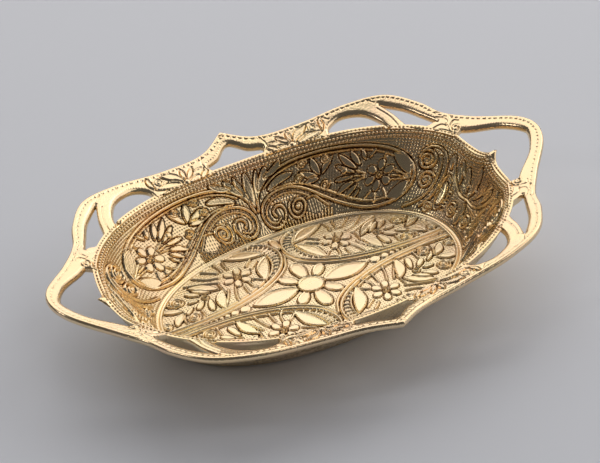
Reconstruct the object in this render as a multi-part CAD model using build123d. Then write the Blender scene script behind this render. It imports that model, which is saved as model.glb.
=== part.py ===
from build123d import *
import os
from math import atan2, cos, degrees, hypot, pi, radians, sin

# Date dish in gilt metal, in millimetres, +Z up. The origin is the middle of the
# floor's underside, on the table. X runs from handle to handle, Y from point to point.

# Plan of the dish
half_length = 140.0
half_width = 100.0
handle_reach = 28.0
point_reach = 22.0
wall_spread = 28.5
oval_power = 2.2

# Heights: the rim is a shallow saddle that climbs outwards and towards the handles
lip_height = 36.0
rim_climb = 12.0
handle_climb = 8.2

# Bowl sheet
sheet = 1.8
wall_bulge = 0.4
bracket_reach = 3.2
bracket_half_width = 10.5

# Border castings
rail_width = 6.5
casting_depth = 3.8
solder_gap = 0.05
knuckle_angle = 18.0
panel_setback = 62.0

# Beaded band inside the lip
band_height = 3.4
band_proud = 0.9
band_drop = 0.5

# Raised work on the floor
relief = 1.2
boss_radii = (7.4, 6.6)
leaf_length = 27.0
leaf_width = 10.6
petal_length = 13.0
petal_width = 10.0
small_petal_length = 8.0
small_petal_width = 6.4
drop_band = 4.6
flower_centre = (29.5, 27.6)
flower_petals = 6
flower_petal_radius = 3.1

# Raised work on the wall
wall_relief = 0.9
work_top = 0.94
wall_flower_petal_radius = 2.7

lip_half_length = half_length - handle_reach
lip_half_width = half_width - point_reach
floor_half_length = lip_half_length - wall_spread
floor_half_width = lip_half_width - wall_spread

OVAL_POINTS = 24
WALL_SECTIONS = 5
RIM_STEPS = 4


def rim_height(x, y):
    """Height of the rim's top face, a shallow paraboloid through the lip."""
    outward = (x / lip_half_length) ** 2 + (y / lip_half_width) ** 2 - 1
    return lip_height + rim_climb * outward + handle_climb * (x / half_length) ** 2


rim_top = rim_height(half_length, 0)
lip_end_height = rim_height(lip_half_length, 0)
wall_slope = hypot(wall_spread, lip_height)
wall_across = sheet * wall_slope / lip_height


def oval_point(turn, a, b):
    """Plan point, at an angle in radians, of a slightly square oval with the given half axes."""
    r = (abs(cos(turn) / a) ** oval_power + abs(sin(turn) / b) ** oval_power) ** (-1 / oval_power)
    return r * cos(turn), r * sin(turn)


def oval(a, b, z):
    """The oval with the given half axes as a closed wire at height z."""
    turns = [2 * pi * k / OVAL_POINTS for k in range(OVAL_POINTS)]
    points = [Vector(*oval_point(turn, a, b), z) for turn in turns]
    return Wire([Edge.make_spline(points, periodic=True)])


def spread(share):
    """How far out the wall has come at a share of its height, as it bulges a little."""
    return share + wall_bulge * share * (1 - share)


def wall_body(inset, bottom):
    """Solid bounded by the wall's outer face, drawn in level by the inset."""
    faces = []
    foot_a = floor_half_length + wall_across
    foot_b = floor_half_width + wall_across
    for k in range(WALL_SECTIONS):
        z = bottom + (rim_top + sheet - bottom) * k / (WALL_SECTIONS - 1)
        out_a = (lip_half_length - foot_a) * spread((z - sheet) / (lip_end_height - sheet))
        out_b = (lip_half_width - foot_b) * spread((z - sheet) / (lip_height - sheet))
        faces.append(Face(oval(foot_a + out_a - inset, foot_b + out_b - inset, z)))
    return loft(faces)


def rim_slab(drop, depth):
    """Slab of the given depth whose top face lies a drop below the rim surface."""
    rows = []
    for i in range(-RIM_STEPS, RIM_STEPS + 1):
        x = 1.1 * half_length * i / RIM_STEPS
        row = []
        for j in range(-RIM_STEPS, RIM_STEPS + 1):
            y = 1.1 * half_width * j / RIM_STEPS
            row.append(Vector(x, y, rim_height(x, y) - drop))
        rows.append(row)
    return extrude(Face.make_surface_from_array_of_points(rows), amount=depth, dir=(0, 0, -1))


def upright(face):
    """Upright solid from the table to above the rim with the plan of the face."""
    return extrude(face, amount=2 * rim_top, dir=(0, 0, 1))


def plan_face(curves, mirror_planes=()):
    """Face bounded by the curves and by their copies across the given planes."""
    edges = []
    for curve in curves:
        edges += curve.edges()
    for plane in mirror_planes:
        edges += [mirror(edge, about=plane) for edge in list(edges)]
    return make_face(edges)


def border_outline():
    """Outer plan of the border: handle bows, shoulders, long rails and the two points."""
    quarter = Spline(
        (half_length, 0),
        (half_length - 3.3, 12),
        (half_length - 20.2, 32.1),
        (half_length - 30.5, half_width - 54),
        (half_length - 36.2, half_width - 40),
        (half_length - 48.8, half_width - 23.5),
        (half_length - 69.6, half_width - 16.1),
        (half_length - 99.6, half_width - 13.4),
        (15.9, half_width - 9.7),
        (0, half_width),
        tangents=[(0, 1), (-0.8, 0.6)],
    )
    return plan_face([quarter], [Plane.YZ, Plane.XZ])


def handle_opening():
    """Finger opening in the +X handle, up to the ogee bracket of the lip."""
    junction = (lip_half_length - 1.8, 27.8)
    bow = Spline(
        (half_length - rail_width, 0),
        (half_length - rail_width - 6.7, 13.3),
        (half_length - rail_width - 19.5, 24.2),
        junction,
        tangents=[(0, 1), (-0.75, 0.2)],
    )
    side = Line(junction, (lip_half_length - 2.8, 0))
    return plan_face([bow, side], [Plane.XZ])


def outer_corner_opening():
    """Opening between the shoulder rail and the strut."""
    low = (half_length - 35.9, half_width - 57.9)
    inner = (lip_half_length - 17.5, lip_half_width - 35)
    tip = (half_length - 54.8, half_width - 27.4)
    rail_side = Spline(low, (half_length - 40, half_width - 49.1), (half_length - 45.5, half_width - 38.4), tip)
    strut_side = Spline(
        inner, (lip_half_length - 21.6, lip_half_width - 26.4), (lip_half_length - 23.4, lip_half_width - 16), tip
    )
    return plan_face([rail_side, strut_side, Line(low, inner)])


def inner_corner_opening():
    """Opening between the strut, the lip and the floral panel."""
    heel = (lip_half_length - 30.9, lip_half_width - 22.9)
    panel = (lip_half_length - 59.6, lip_half_width - 8.3)
    over = Spline(
        heel,
        (lip_half_length - 32.4, lip_half_width - 14.4),
        (half_length - 66.2, half_width - 27),
        (half_length - 77.3, half_width - 22.3),
        (half_length - 85.4, half_width - 25),
        panel,
    )
    lip_side = Spline(
        heel, (lip_half_length - 37.5, lip_half_width - 17.6), (lip_half_length - 46, lip_half_width - 12), panel
    )
    return plan_face([over, lip_side])


def point_opening():
    """Opening under the pointed middle of the +Y side."""
    apex = (0, half_width - 8.8)
    high = (15.6, lip_half_width + 4.1)
    low = (16.1, lip_half_width + 1.7)
    eave = Spline(apex, (8.8, half_width - 15.4), high)
    sill = ThreePointArc(low, (8.4, lip_half_width - 0.2), (0, lip_half_width - 1.8))
    return plan_face([eave, Line(high, low), sill], [Plane.YZ])


def castings():
    """The border castings of one quarter, not yet seated: handle, corner and middle of the side."""
    border = upright(border_outline()) & rim_slab(0, casting_depth)
    reach = 2 * half_length
    seam = lip_half_length - panel_setback
    turn = radians(knuckle_angle)
    knuckle = (reach * cos(turn), reach * sin(turn))
    wedge = make_face(Polyline((0, 0), knuckle, (knuckle[0], -knuckle[1]), close=True))
    side = make_face(Polyline((0, 0), knuckle, (reach, reach), (0, reach), close=True))
    middle = make_face(Polyline((-seam, 0), (seam, 0), (seam, reach), (-seam, reach), close=True))
    handle = (border & upright(wedge)) - upright(handle_opening())
    corner = (border & upright(side)) - upright(middle)
    corner = corner - upright(outer_corner_opening()) - upright(inner_corner_opening())
    centre = (border & upright(middle)) - upright(point_opening())
    return handle, corner, centre


def bracket():
    """Ogee bracket that the bowl's lip pushes into the +X handle opening, left high on top."""
    tip = (lip_half_length + bracket_reach, 0)
    foot = (lip_half_length - 1.5, bracket_half_width)
    side = Spline(tip, (lip_half_length, bracket_half_width * 0.35), foot, tangents=[(-1, 0.9), (-0.2, 1)])
    plan = plan_face([side, Line(foot, (lip_half_length - 1.5, 0))], [Plane.XZ])
    return upright(plan) & rim_slab(-sheet, 2 * sheet)


def raised(face):
    """Raised work with the plan of the face, standing on the floor."""
    return extrude(Pos(0, 0, sheet / 2) * face, amount=sheet / 2 + relief, dir=(0, 0, 1))


def leaf(start, end, width):
    """Pointed leaf in plan between two points."""
    a = Vector(*start)
    b = Vector(*end)
    across = (b - a).rotate(Axis.Z, 90).normalized() * (width / 2)
    middle = (a + b) * 0.5
    return plan_face([ThreePointArc(a, middle + across, b), ThreePointArc(b, middle - across, a)])


def petal(turn, length, width):
    """Round-ended petal in plan that leaves the boss at an angle in degrees."""
    start = boss_radii[1] - 0.6
    round_end = Pos(start + length - width / 2, 0) * Circle(width / 2)
    stem = Pos(start + (length - width / 2) / 2, 0) * Rectangle(length - width / 2, width * 0.5)
    return Rot(0, 0, turn) * (round_end + stem)


def drop_frame():
    """Double-lined teardrop that frames the +X +Y lobe of the floor, in plan."""
    a = floor_half_length
    b = floor_half_width
    outer = Spline(
        (a - 1.5, 3.4), (50, 4.2), (30, 8.6), (11.5, 19), (2.4, 33), (7.6, b - 5), (21, b - 1.4),
        (46, b - 7.4), (66, b - 18), (a - 3.5, 15), (a - 1.5, 3.4),
    )
    inner = Spline(
        (a - 6, 4.8), (50, 5.8), (31, 11), (14.5, 22), (2.4 + drop_band, 34), (11.5, b - 9), (22, b - 4.6),
        (44, b - 10), (62, b - 20), (a - 7, 15), (a - 6, 4.8),
    )
    return plan_face([outer]) - plan_face([inner])


def flower(petal_radius, slant=1.0):
    """Round-petalled flower in plan about the origin, foreshortened across by the slant."""
    ring = Ellipse(petal_radius, petal_radius * slant)
    for k in range(flower_petals):
        turn = 2 * pi * k / flower_petals
        middle = Pos(1.8 * petal_radius * cos(turn), 1.8 * petal_radius * sin(turn) * slant)
        ring += middle * Ellipse(petal_radius, petal_radius * slant)
    return ring


def floor_work():
    """Raised work of the whole floor as a list of solids."""
    plans = [Ellipse(*boss_radii)]
    for side in (1, -1):
        start = side * (boss_radii[0] - 1)
        plans.append(leaf((start, 0), (start + side * leaf_length, 0), leaf_width))
        plans.append(petal(90 * side, petal_length, petal_width))
    for turn in (42, 138, 222, 318):
        plans.append(petal(turn, small_petal_length, small_petal_width))
    lobe = [drop_frame(), Pos(*flower_centre) * flower(flower_petal_radius)]
    lobe.append(leaf((17, 15.5), (9.5, 36), 5.5))
    lobe.append(leaf((12, 39.5), (33, 40.5), 5.5))
    for plan in lobe:
        plans += [plan, mirror(plan, about=Plane.YZ), mirror(plan, about=Plane.XZ)]
        plans.append(Rot(0, 0, 180) * plan)
    return [raised(plan) for plan in plans]


def wall_spot(turn, share):
    """Plan point inside the wall, at an angle in degrees and a share of the worked height."""
    out = (wall_spread - wall_across) * spread(share * work_top)
    return oval_point(radians(turn), floor_half_length + out, floor_half_width + out)


def wall_curve(*spots):
    """Smooth curve in plan through spots of the wall, given as angles and shares of the height."""
    return Spline(*[wall_spot(turn, share) for turn, share in spots])


def wall_leaf(start, end, width):
    """Pointed leaf in plan between two spots of the wall."""
    return leaf(wall_spot(*start), wall_spot(*end), width)


def on_wall(plan, turn, share):
    """The plan shape moved to a spot of the wall and turned along the wall."""
    here = wall_spot(turn, share)
    ahead = wall_spot(turn - 1, share)
    heading = degrees(atan2(ahead[1] - here[1], ahead[0] - here[0]))
    return Pos(*here) * Rot(0, 0, heading) * plan


def wall_disc(turn, share, along, up):
    """Oval boss in plan at a spot of the wall, with half axes along the wall and up its slope."""
    return on_wall(Ellipse(along, up * wall_spread / wall_slope), turn, share)


def wall_frame():
    """Double-lined drop that frames the work of one quarter of the wall, in plan."""
    outer = wall_curve(
        (88.2, 0.38), (86, 0.55), (77.8, 0.77), (59.9, 0.86), (41, 0.83), (31.6, 0.75), (24.5, 0.55),
        (22.4, 0.39), (24.5, 0.2), (31.6, 0.08), (41, 0.1), (51.8, 0.2), (62.2, 0.37), (74.4, 0.46),
        (83, 0.42), (88.2, 0.38),
    )
    inner = wall_curve(
        (83, 0.51), (76.5, 0.69), (59.9, 0.79), (41.3, 0.76), (32.5, 0.68), (26.2, 0.5), (24.5, 0.39),
        (26.2, 0.27), (32.2, 0.15), (41, 0.17), (50.8, 0.28), (61, 0.44), (74.4, 0.54), (83, 0.51),
    )
    return plan_face([outer]) - plan_face([inner])


def wall_bow():
    """Bow that holds the two curls beside the handle, in plan."""
    outer = wall_curve(
        (22.5, 0.72), (20.4, 0.82), (17.4, 0.84), (14, 0.77), (12.2, 0.6), (12.3, 0.38), (13.6, 0.21), (16.3, 0.09)
    )
    end = Line(wall_spot(16.3, 0.09), wall_spot(17.4, 0.13))
    inner = wall_curve((17.4, 0.13), (15.2, 0.25), (14.1, 0.4), (14, 0.58), (15.3, 0.71), (17.8, 0.77), (22.5, 0.72))
    return plan_face([outer, end, inner])


def wall_quarter():
    """Plans of the raised work of the +X +Y quarter of the wall."""
    slant = wall_spread / wall_slope
    plans = [wall_frame(), wall_bow(), on_wall(flower(wall_flower_petal_radius, slant), 34.4, 0.42)]
    for start, end, width in (
        ((88.2, 0.5), (84.3, 0.86), 2.8),
        ((31, 0.65), (26.6, 0.47), 4.2),
        ((26.8, 0.33), (30.4, 0.21), 4.2),
        ((41.4, 0.48), (49.7, 0.7), 3.2),
        ((41.4, 0.42), (49.4, 0.32), 2.8),
        ((56.9, 0.54), (60.4, 0.74), 3.0),
        ((80.2, 0.57), (68.6, 0.66), 3.0),
        ((6.4, 0.5), (8.5, 0.78), 3.4),
    ):
        plans.append(wall_leaf(start, end, width))
    for turn, share, along, up in (
        (80.8, 0.21, 5.2, 4.4),
        (68.1, 0.23, 6, 4.6),
        (20.1, 0.6, 4.0, 4.4),
        (18.6, 0.36, 3.8, 4.2),
        (10.6, 0.31, 2.6, 5.6),
    ):
        plans.append(wall_disc(turn, share, along, up))
    return plans


def wall_plans():
    """Plans of the raised work of the whole wall, as one sketch."""
    plans = [wall_leaf((90, 0.42), (90, 0.87), 3.6), wall_leaf((270, 0.42), (270, 0.87), 3.6)]
    for turn in (0, 180):
        plans.append(wall_leaf((turn, 0.44), (turn, 0.84), 4.6))
        plans.append(wall_disc(turn, 0.2, 3.0, 5.0))
    for plan in wall_quarter():
        plans += [plan, mirror(plan, about=Plane.YZ), mirror(plan, about=Plane.XZ), Rot(0, 0, 180) * plan]
    return Sketch() + plans


def bowl():
    """Pressed bowl: flat floor, bulging wall, thin lip with two brackets, and raised work."""
    end_bracket = bracket()
    body = wall_body(0, 0) + end_bracket + mirror(end_bracket, about=Plane.YZ)
    proud = wall_across * (1 + wall_relief / sheet)
    body = (body & rim_slab(0, 2 * rim_top)) - wall_body(proud, 1.5 * sheet)
    ground = wall_body(wall_across, sheet) - upright(wall_plans())
    return (body - ground).fuse(*floor_work())


def bead_band():
    """Band that carries the beads, soldered inside the top of the wall."""
    ring = wall_body(wall_across + solder_gap, sheet) - wall_body(wall_across + solder_gap + band_proud, 0)
    return ring & rim_slab(band_drop, band_height)


def write(name, shape):
    """Save one piece as its own STEP file."""
    export_step(shape, os.path.join("parts", name + ".step"))


def write_castings():
    """Turn each casting to its places round the border, seat it on the wall and save it."""
    seat = wall_body(-solder_gap, 0)
    handle, corner, centre = castings()
    for side, turn in (("right", 0), ("left", 180)):
        write("handle_" + side, Rot(0, 0, turn) * handle - seat)
    for end, turn in (("back", 0), ("front", 180)):
        write("point_" + end, Rot(0, 0, turn) * centre - seat)
    write("corner_back_right", corner - seat)
    write("corner_front_left", Rot(0, 0, 180) * corner - seat)
    other_corner = mirror(corner, about=Plane.YZ)
    write("corner_back_left", other_corner - seat)
    write("corner_front_right", Rot(0, 0, 180) * other_corner - seat)


def main():
    os.makedirs("parts", exist_ok=True)
    write("bowl", bowl())
    write("bead_band", bead_band())
    write_castings()


main()
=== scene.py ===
"""Looks of the date dish: embossed gold bowl, beaded lip and cast openwork border.

Lengths are in millimetres until a mesh is made. The dish has two upright planes of symmetry,
so its ornament is drawn once, in one quarter, and read with the absolute values of x and y.
"""
import bpy
import numpy as np
from mathutils import Matrix, Vector


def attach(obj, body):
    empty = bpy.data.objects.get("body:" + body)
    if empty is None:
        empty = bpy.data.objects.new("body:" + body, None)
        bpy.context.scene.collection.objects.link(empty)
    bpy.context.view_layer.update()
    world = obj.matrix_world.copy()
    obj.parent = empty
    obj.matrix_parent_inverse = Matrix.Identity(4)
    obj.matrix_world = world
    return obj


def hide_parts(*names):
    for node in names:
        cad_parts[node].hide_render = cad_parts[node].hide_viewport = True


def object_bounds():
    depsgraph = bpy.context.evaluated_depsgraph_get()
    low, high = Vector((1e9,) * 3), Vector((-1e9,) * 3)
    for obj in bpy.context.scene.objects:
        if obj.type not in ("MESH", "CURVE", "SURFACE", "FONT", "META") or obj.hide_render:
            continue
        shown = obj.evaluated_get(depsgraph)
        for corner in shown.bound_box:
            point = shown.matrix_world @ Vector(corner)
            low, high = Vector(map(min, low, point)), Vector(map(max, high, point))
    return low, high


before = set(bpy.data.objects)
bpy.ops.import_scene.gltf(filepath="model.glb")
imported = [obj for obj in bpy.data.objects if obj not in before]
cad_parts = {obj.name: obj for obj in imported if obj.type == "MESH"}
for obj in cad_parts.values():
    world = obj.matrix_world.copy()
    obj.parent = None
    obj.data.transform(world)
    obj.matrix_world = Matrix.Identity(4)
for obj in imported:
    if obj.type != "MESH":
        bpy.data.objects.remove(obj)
cad_low, cad_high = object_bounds()

MM = 0.001
half_length = cad_high.x / MM
half_width = cad_high.y / MM

# Bowl, as in the solids
lip_half_length = half_length - 28.0
lip_half_width = half_width - 22.0
floor_half_length = lip_half_length - 28.5
floor_half_width = lip_half_width - 28.5
lip_height = 36.0
rim_climb = 12.0
handle_climb = 8.2
sheet = 1.8
wall_across = sheet * np.hypot(28.5, lip_height) / lip_height
oval_power = 2.2
wall_bulge = 0.4
bracket_reach = 3.2
ogee_half_width = 8.0
scallop_depth = 2.8
scallop_length = 28.0

# Border castings
casting_depth = 3.8
rail_width = 6.5
edge_round = 2.0
knuckle_angle = np.radians(18.0)
panel_seam = lip_half_length - 62.0

# Mesh spacing
floor_cells = (300, 178)
wall_columns = 420
wall_rows = 132
wall_back_rows = 26
border_pitch = 0.32
bead_pitch = 2.2
WALL_DRAWN = 42.0

# Ornament
DEEPEST = -0.9
STIPPLE_PITCH = 1.6
STIPPLE_DEPTH = 0.35
REACH = 12.0


def rim_height(x, y):
    """Height of the rim's top face: a shallow paraboloid through the lip."""
    outward = (x / lip_half_length) ** 2 + (y / lip_half_width) ** 2 - 1
    return lip_height + rim_climb * outward + handle_climb * (x / half_length) ** 2


def oval_radius(turn, a, b):
    """Distance from the middle to a slightly square oval of half axes a and b at an angle."""
    along = np.abs(np.cos(turn) / a) ** oval_power
    across = np.abs(np.sin(turn) / b) ** oval_power
    return (along + across) ** (-1 / oval_power)


def spread(share):
    """How far out the wall has come at a share of its height."""
    return share + wall_bulge * share * (1 - share)


def wall_point(turn, z, inset):
    """Point of the wall at a plan angle and height, drawn in level from its outer face."""
    foot_a = floor_half_length + wall_across
    foot_b = floor_half_width + wall_across
    end_height = rim_height(lip_half_length, 0)
    a = foot_a + (lip_half_length - foot_a) * spread((z - sheet) / (end_height - sheet)) - inset
    b = foot_b + (lip_half_width - foot_b) * spread((z - sheet) / (lip_height - sheet)) - inset
    r = oval_radius(turn, a, b)
    return r * np.cos(turn), r * np.sin(turn)


def lip_level(turn, inset):
    """Height at which the wall meets the rim's top face, found by repeated substitution."""
    z = np.full_like(np.asarray(turn, float), lip_height)
    for _ in range(30):
        x, y = wall_point(turn, z, inset)
        z = rim_height(x, y)
    return z


def smooth(points, steps=10):
    """Smooth curve through the points: cubic pieces whose tangents join the neighbours."""
    p = np.asarray(points, float)
    p = np.vstack([2 * p[0] - p[1], p, 2 * p[-1] - p[-2]])
    gap = np.sqrt(np.linalg.norm(np.diff(p, axis=0), axis=1)) + 1e-6
    runs = []
    t = np.linspace(0, 1, steps, endpoint=False)[:, None]
    for k in range(1, len(p) - 2):
        g0, g1, g2 = gap[k - 1], gap[k], gap[k + 1]
        rise = p[k + 1] - p[k]
        m0 = rise + g1 * ((p[k] - p[k - 1]) / g0 - (p[k + 1] - p[k - 1]) / (g0 + g1))
        m1 = rise + g1 * ((p[k + 2] - p[k + 1]) / g2 - (p[k + 2] - p[k]) / (g1 + g2))
        h01 = t * t * (3 - 2 * t)
        h10 = t * (1 - t) ** 2
        h11 = -t * t * (1 - t)
        runs.append(p[k] + h01 * rise + h10 * m0 + h11 * m1)
    runs.append(p[-2:-1])
    return np.vstack(runs)


def distance_to(px, py, line):
    """Distance from each point to a polyline, and the share along it of the nearest spot."""
    best = np.full(px.shape, 1e9)
    share = np.zeros(px.shape)
    lengths = np.linalg.norm(np.diff(line, axis=0), axis=1)
    total = max(lengths.sum(), 1e-9)
    start = np.concatenate([[0], np.cumsum(lengths)])
    for k in range(len(line) - 1):
        ax, ay = line[k]
        dx, dy = line[k + 1] - line[k]
        size = dx * dx + dy * dy
        if size < 1e-12:
            continue
        t = np.clip(((px - ax) * dx + (py - ay) * dy) / size, 0, 1)
        d = np.hypot(px - ax - t * dx, py - ay - t * dy)
        near = d < best
        best = np.where(near, d, best)
        share = np.where(near, (start[k] + t * lengths[k]) / total, share)
    return best, share


def inside(px, py, ring):
    """Whether each point is inside the closed ring, by counting crossings."""
    result = np.zeros(px.shape, bool)
    x0, y0 = ring[:, 0], ring[:, 1]
    x1, y1 = np.roll(x0, -1), np.roll(y0, -1)
    for ax, ay, bx, by in zip(x0, y0, x1, y1):
        if ay == by:
            continue
        crosses = ((ay > py) != (by > py)) & (px < (bx - ax) * (py - ay) / (by - ay) + ax)
        result ^= crosses
    return result


class Sheet:
    """A height map in millimetres over a rectangle, on which ornament is drawn."""

    def __init__(self, low, high, pitch):
        self.low = np.asarray(low, float)
        self.pitch = pitch
        self.nx = int(round((high[0] - low[0]) / pitch)) + 1
        self.ny = int(round((high[1] - low[1]) / pitch)) + 1
        self.x, self.y = np.meshgrid(
            low[0] + pitch * np.arange(self.nx), low[1] + pitch * np.arange(self.ny)
        )
        self.z = np.zeros_like(self.x)

    def window(self, line, reach):
        """Slices of the map that hold the line and everything within reach of it."""
        low = np.floor((line.min(0) - reach - self.low) / self.pitch).astype(int)
        high = np.ceil((line.max(0) + reach - self.low) / self.pitch).astype(int) + 1
        cols = slice(max(low[0], 0), max(min(high[0], self.nx), 0))
        rows = slice(max(low[1], 0), max(min(high[1], self.ny), 0))
        return rows, cols

    def ridge(self, line, width, height):
        """Rounded ridge along a line, close to a parabola across, with a fine groove on each side."""
        w = self.window(line, width)
        d, _ = distance_to(self.x[w], self.y[w], line)
        half = width / 2
        rise = 1.12 * height * np.clip(1 - (d / half) ** 2, 0, None) ** 0.8
        moat = 0.5 * min(height, 1) * np.exp(-((d - half - 0.2) / 0.3) ** 2)
        self.z[w] = np.where(d < half, np.maximum(self.z[w], rise), self.z[w] - moat)

    def groove(self, line, width, depth):
        """Rounded groove along a line."""
        w = self.window(line, width)
        d, _ = distance_to(self.x[w], self.y[w], line)
        self.z[w] -= depth * np.clip(1 - (2 * d / width) ** 2, 0, None)

    def dome(self, ring, height, edge=1.2, groove=0.5):
        """Low raised field inside a closed ring, with a fine rolled outline and a groove round it."""
        w = self.window(ring, edge + 1)
        px, py = self.x[w], self.y[w]
        d, _ = distance_to(px, py, np.vstack([ring, ring[:1]]))
        within = inside(px, py, ring)
        swell = 0.62 * (1 - np.clip(1 - d / edge, 0, 1) ** 2.2)
        outline = 0.62 * np.exp(-((d - 0.42) / 0.34) ** 2)
        moat = -1.5 * groove * np.exp(-(d / 0.5) ** 2)
        field = np.maximum(height * np.maximum(swell, outline + 0.2), self.z[w] * 0.2)
        self.z[w] = np.where(within, field, np.minimum(self.z[w], self.z[w] + moat))

    def loop(self, ring, width, height):
        """Hollow ridge along a closed ring."""
        self.ridge(np.vstack([ring, ring[:1]]), width, height)

    def spiral(self, centre, radius, turns=2.2, start=0.0, width=1.1, height=0.8, way=1):
        """Ridge along a spiral that winds in to a small dome at its centre."""
        t = np.linspace(0, 1, int(16 * turns))
        r = radius * (1 - 0.86 * t)
        angle = start + way * 2 * np.pi * turns * t
        line = np.column_stack([centre[0] + r * np.cos(angle), centre[1] + r * np.sin(angle)])
        self.ridge(line, width, height)
        self.bump(centre, radius * 0.22, height)

    def bump(self, centre, radius, height):
        """Small round dome."""
        c = np.asarray([centre, centre], float)
        w = self.window(c, radius)
        d = np.hypot(self.x[w] - centre[0], self.y[w] - centre[1])
        rise = height * np.clip(1 - (d / radius) ** 2, 0, None) ** 0.6
        self.z[w] = np.where(d < radius, np.maximum(self.z[w], rise), self.z[w])

    def read(self, x, y):
        """Height at any points, blended between the four nearest samples."""
        u = np.clip((x - self.low[0]) / self.pitch, 0, self.nx - 1.001)
        v = np.clip((y - self.low[1]) / self.pitch, 0, self.ny - 1.001)
        i = u.astype(int)
        j = v.astype(int)
        fu = u - i
        fv = v - j
        z = np.maximum(self.z, DEEPEST)
        low = z[j, i] * (1 - fu) + z[j, i + 1] * fu
        high = z[j + 1, i] * (1 - fu) + z[j + 1, i + 1] * fu
        return low * (1 - fv) + high * fv


def leaf_ring(base, tip, width, bend=0.0):
    """Closed outline of a pointed leaf: a half sine each side of a bent middle line."""
    a = np.asarray(base, float)
    b = np.asarray(tip, float)
    along = b - a
    side = np.array([-along[1], along[0]]) / np.linalg.norm(along)
    t = np.linspace(0, 1, 15)[:, None]
    middle = a + along * t + side * bend * np.sin(np.pi * t)
    half = width / 2 * np.sin(np.pi * t) ** 0.8
    return np.vstack([middle + side * half, (middle - side * half)[-2:0:-1]])


def drop_ring(base, end, width, bend=0.0):
    """Closed outline of a drop: pointed at its base and round at its end."""
    a = np.asarray(base, float)
    b = np.asarray(end, float)
    along = b - a
    side = np.array([-along[1], along[0]]) / np.linalg.norm(along)
    t = 0.5 - 0.5 * np.cos(np.linspace(0, np.pi, 15))[:, None]
    middle = a + along * t + side * bend * np.sin(np.pi * t)
    half = width * 1.3 / 2 * np.sqrt(np.clip(t, 0, 1)) * np.sqrt(np.clip(1 - t ** 2.2, 0, 1))
    return np.vstack([middle + side * half, (middle - side * half)[-2:0:-1]])


def circle_ring(centre, radius, squash=1.0):
    """Closed outline of a circle or oval."""
    t = np.linspace(0, 2 * np.pi, 24, endpoint=False)
    return np.column_stack([centre[0] + radius * np.cos(t), centre[1] + radius * squash * np.sin(t)])


def flower(sheet_map, centre, radius, petals, start, height):
    """Round-petalled flower: swelling petals round a ringed dot."""
    c = np.asarray(centre, float)
    for k in range(petals):
        angle = start + 2 * np.pi * k / petals
        away = np.array([np.cos(angle), np.sin(angle)])
        ring = drop_ring(c + away * radius * 0.3, c + away * radius, radius * 0.58)
        sheet_map.dome(ring, height * 0.9, edge=1.1, groove=0.4)
    sheet_map.loop(circle_ring(c, radius * 0.19), 0.7, height)
    sheet_map.bump(c, radius * 0.09, height)


def stipple(x, y):
    """Depth of the fine dots that fill the ground, in two crossed sets of rows."""
    rows = np.cos(np.pi * (x + y) / STIPPLE_PITCH)
    cross_rows = np.cos(np.pi * (x - y) / STIPPLE_PITCH)
    return STIPPLE_DEPTH * np.clip(rows * cross_rows, 0, 1) ** 2


def draw_floor():
    """Ornament of one quarter of the floor, in plan."""
    s = Sheet((-2, -2), (86, 52), 0.22)
    x, y = s.x, s.y
    s.z -= stipple(x, y)
    outer = smooth([(83, 3.9), (70, 3.3), (58, 3.6), (46, 4.8), (34, 7.3), (23, 11), (13, 16.3), (6, 22.5),
                    (2.2, 30), (2.0, 37), (5.2, 43.4), (12, 47.2), (21, 48.0), (30, 46.9)])
    inner = smooth([(60, 5.6), (46, 6.8), (33, 9.8), (22, 14.2), (14, 19.5), (9.4, 26), (8.0, 33),
                    (9.5, 39.3), (14.5, 43.6), (22, 45.3), (30, 44.9)])
    centre_line = smooth([(83, 1.6), (68, 1.1), (56, 1.7), (44, 3.0), (32, 5.6), (21, 9.3), (11.5, 14.3),
                          (4.6, 20.5), (0.4, 29)])
    s.ridge(outer, 2.0, 1.15)
    s.ridge(centre_line, 1.4, 0.8)
    s.ridge(inner, 1.2, 0.8)
    ladder(s, outer, inner)
    s.dome(drop_ring((0.0, 6.0), (0.0, 20.6), 9.6), 1.1, edge=2.6)
    s.dome(drop_ring((0.0, 36.0), (0.0, 46.4), 5.8), 1.0, edge=2.0)
    s.dome(drop_ring((4.6, 4.4), (12.6, 12.6), 7.2), 1.0, edge=2.0)
    s.dome(leaf_ring((6.6, 0.0), (34.0, 0.0), 12.0), 1.15, edge=3.4)
    s.dome(circle_ring((0, 0), 7.3, 0.92), 1.35, edge=2.6, groove=0.8)
    discs = ((38.4, 2.9), (44.3, 2.2), (48.6, 1.5), (52.0, 1.1), (55.0, 0.9), (58.0, 0.8), (79.0, 0.9))
    for place, size in discs:
        s.dome(circle_ring((place, 0), size, 0.85), 0.8, edge=1.0, groove=0.3)
    s.dome(leaf_ring((8.6, 37.0), (29.5, 44.4), 7.4, 1.2), 1.1, edge=2.4)
    s.dome(leaf_ring((8.6, 35.4), (18.3, 15.2), 7.2, 1.6), 1.1, edge=2.4)
    floor_rays(s)
    flower(s, (29.8, 26.6), 8.0, 6, -0.15, 0.95)
    floor_spray(s)
    for centre, radius, way in (((66, 24), 3.8, 1), ((63, 8.6), 3.6, -1), ((78.6, 8.6), 2.9, 1)):
        s.spiral(centre, radius, way=way)
    edge_gap = floor_edge_gap(x, y)
    s.z = np.where(edge_gap < 2.2, 1.3 * np.clip(1 - ((edge_gap - 1.0) / 1.1) ** 2, 0, None) ** 0.6, s.z)
    return s


def floor_edge_gap(x, y):
    """Distance in from the floor's edge, nearly."""
    turn = np.arctan2(np.abs(y), np.abs(x) + 1e-9)
    return oval_radius(turn, floor_half_length, floor_half_width) - np.hypot(x, y)


def ladder(s, outer, inner):
    """Short bars between the two lines at the round end of a lobe."""
    across_from = outer[::4]
    for start in across_from:
        if start[0] > 26 or start[1] < 12:
            continue
        gap = np.linalg.norm(inner - start, axis=1)
        end = inner[np.argmin(gap)]
        s.ridge(np.array([start, end]), 1.0, 0.45)


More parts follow.
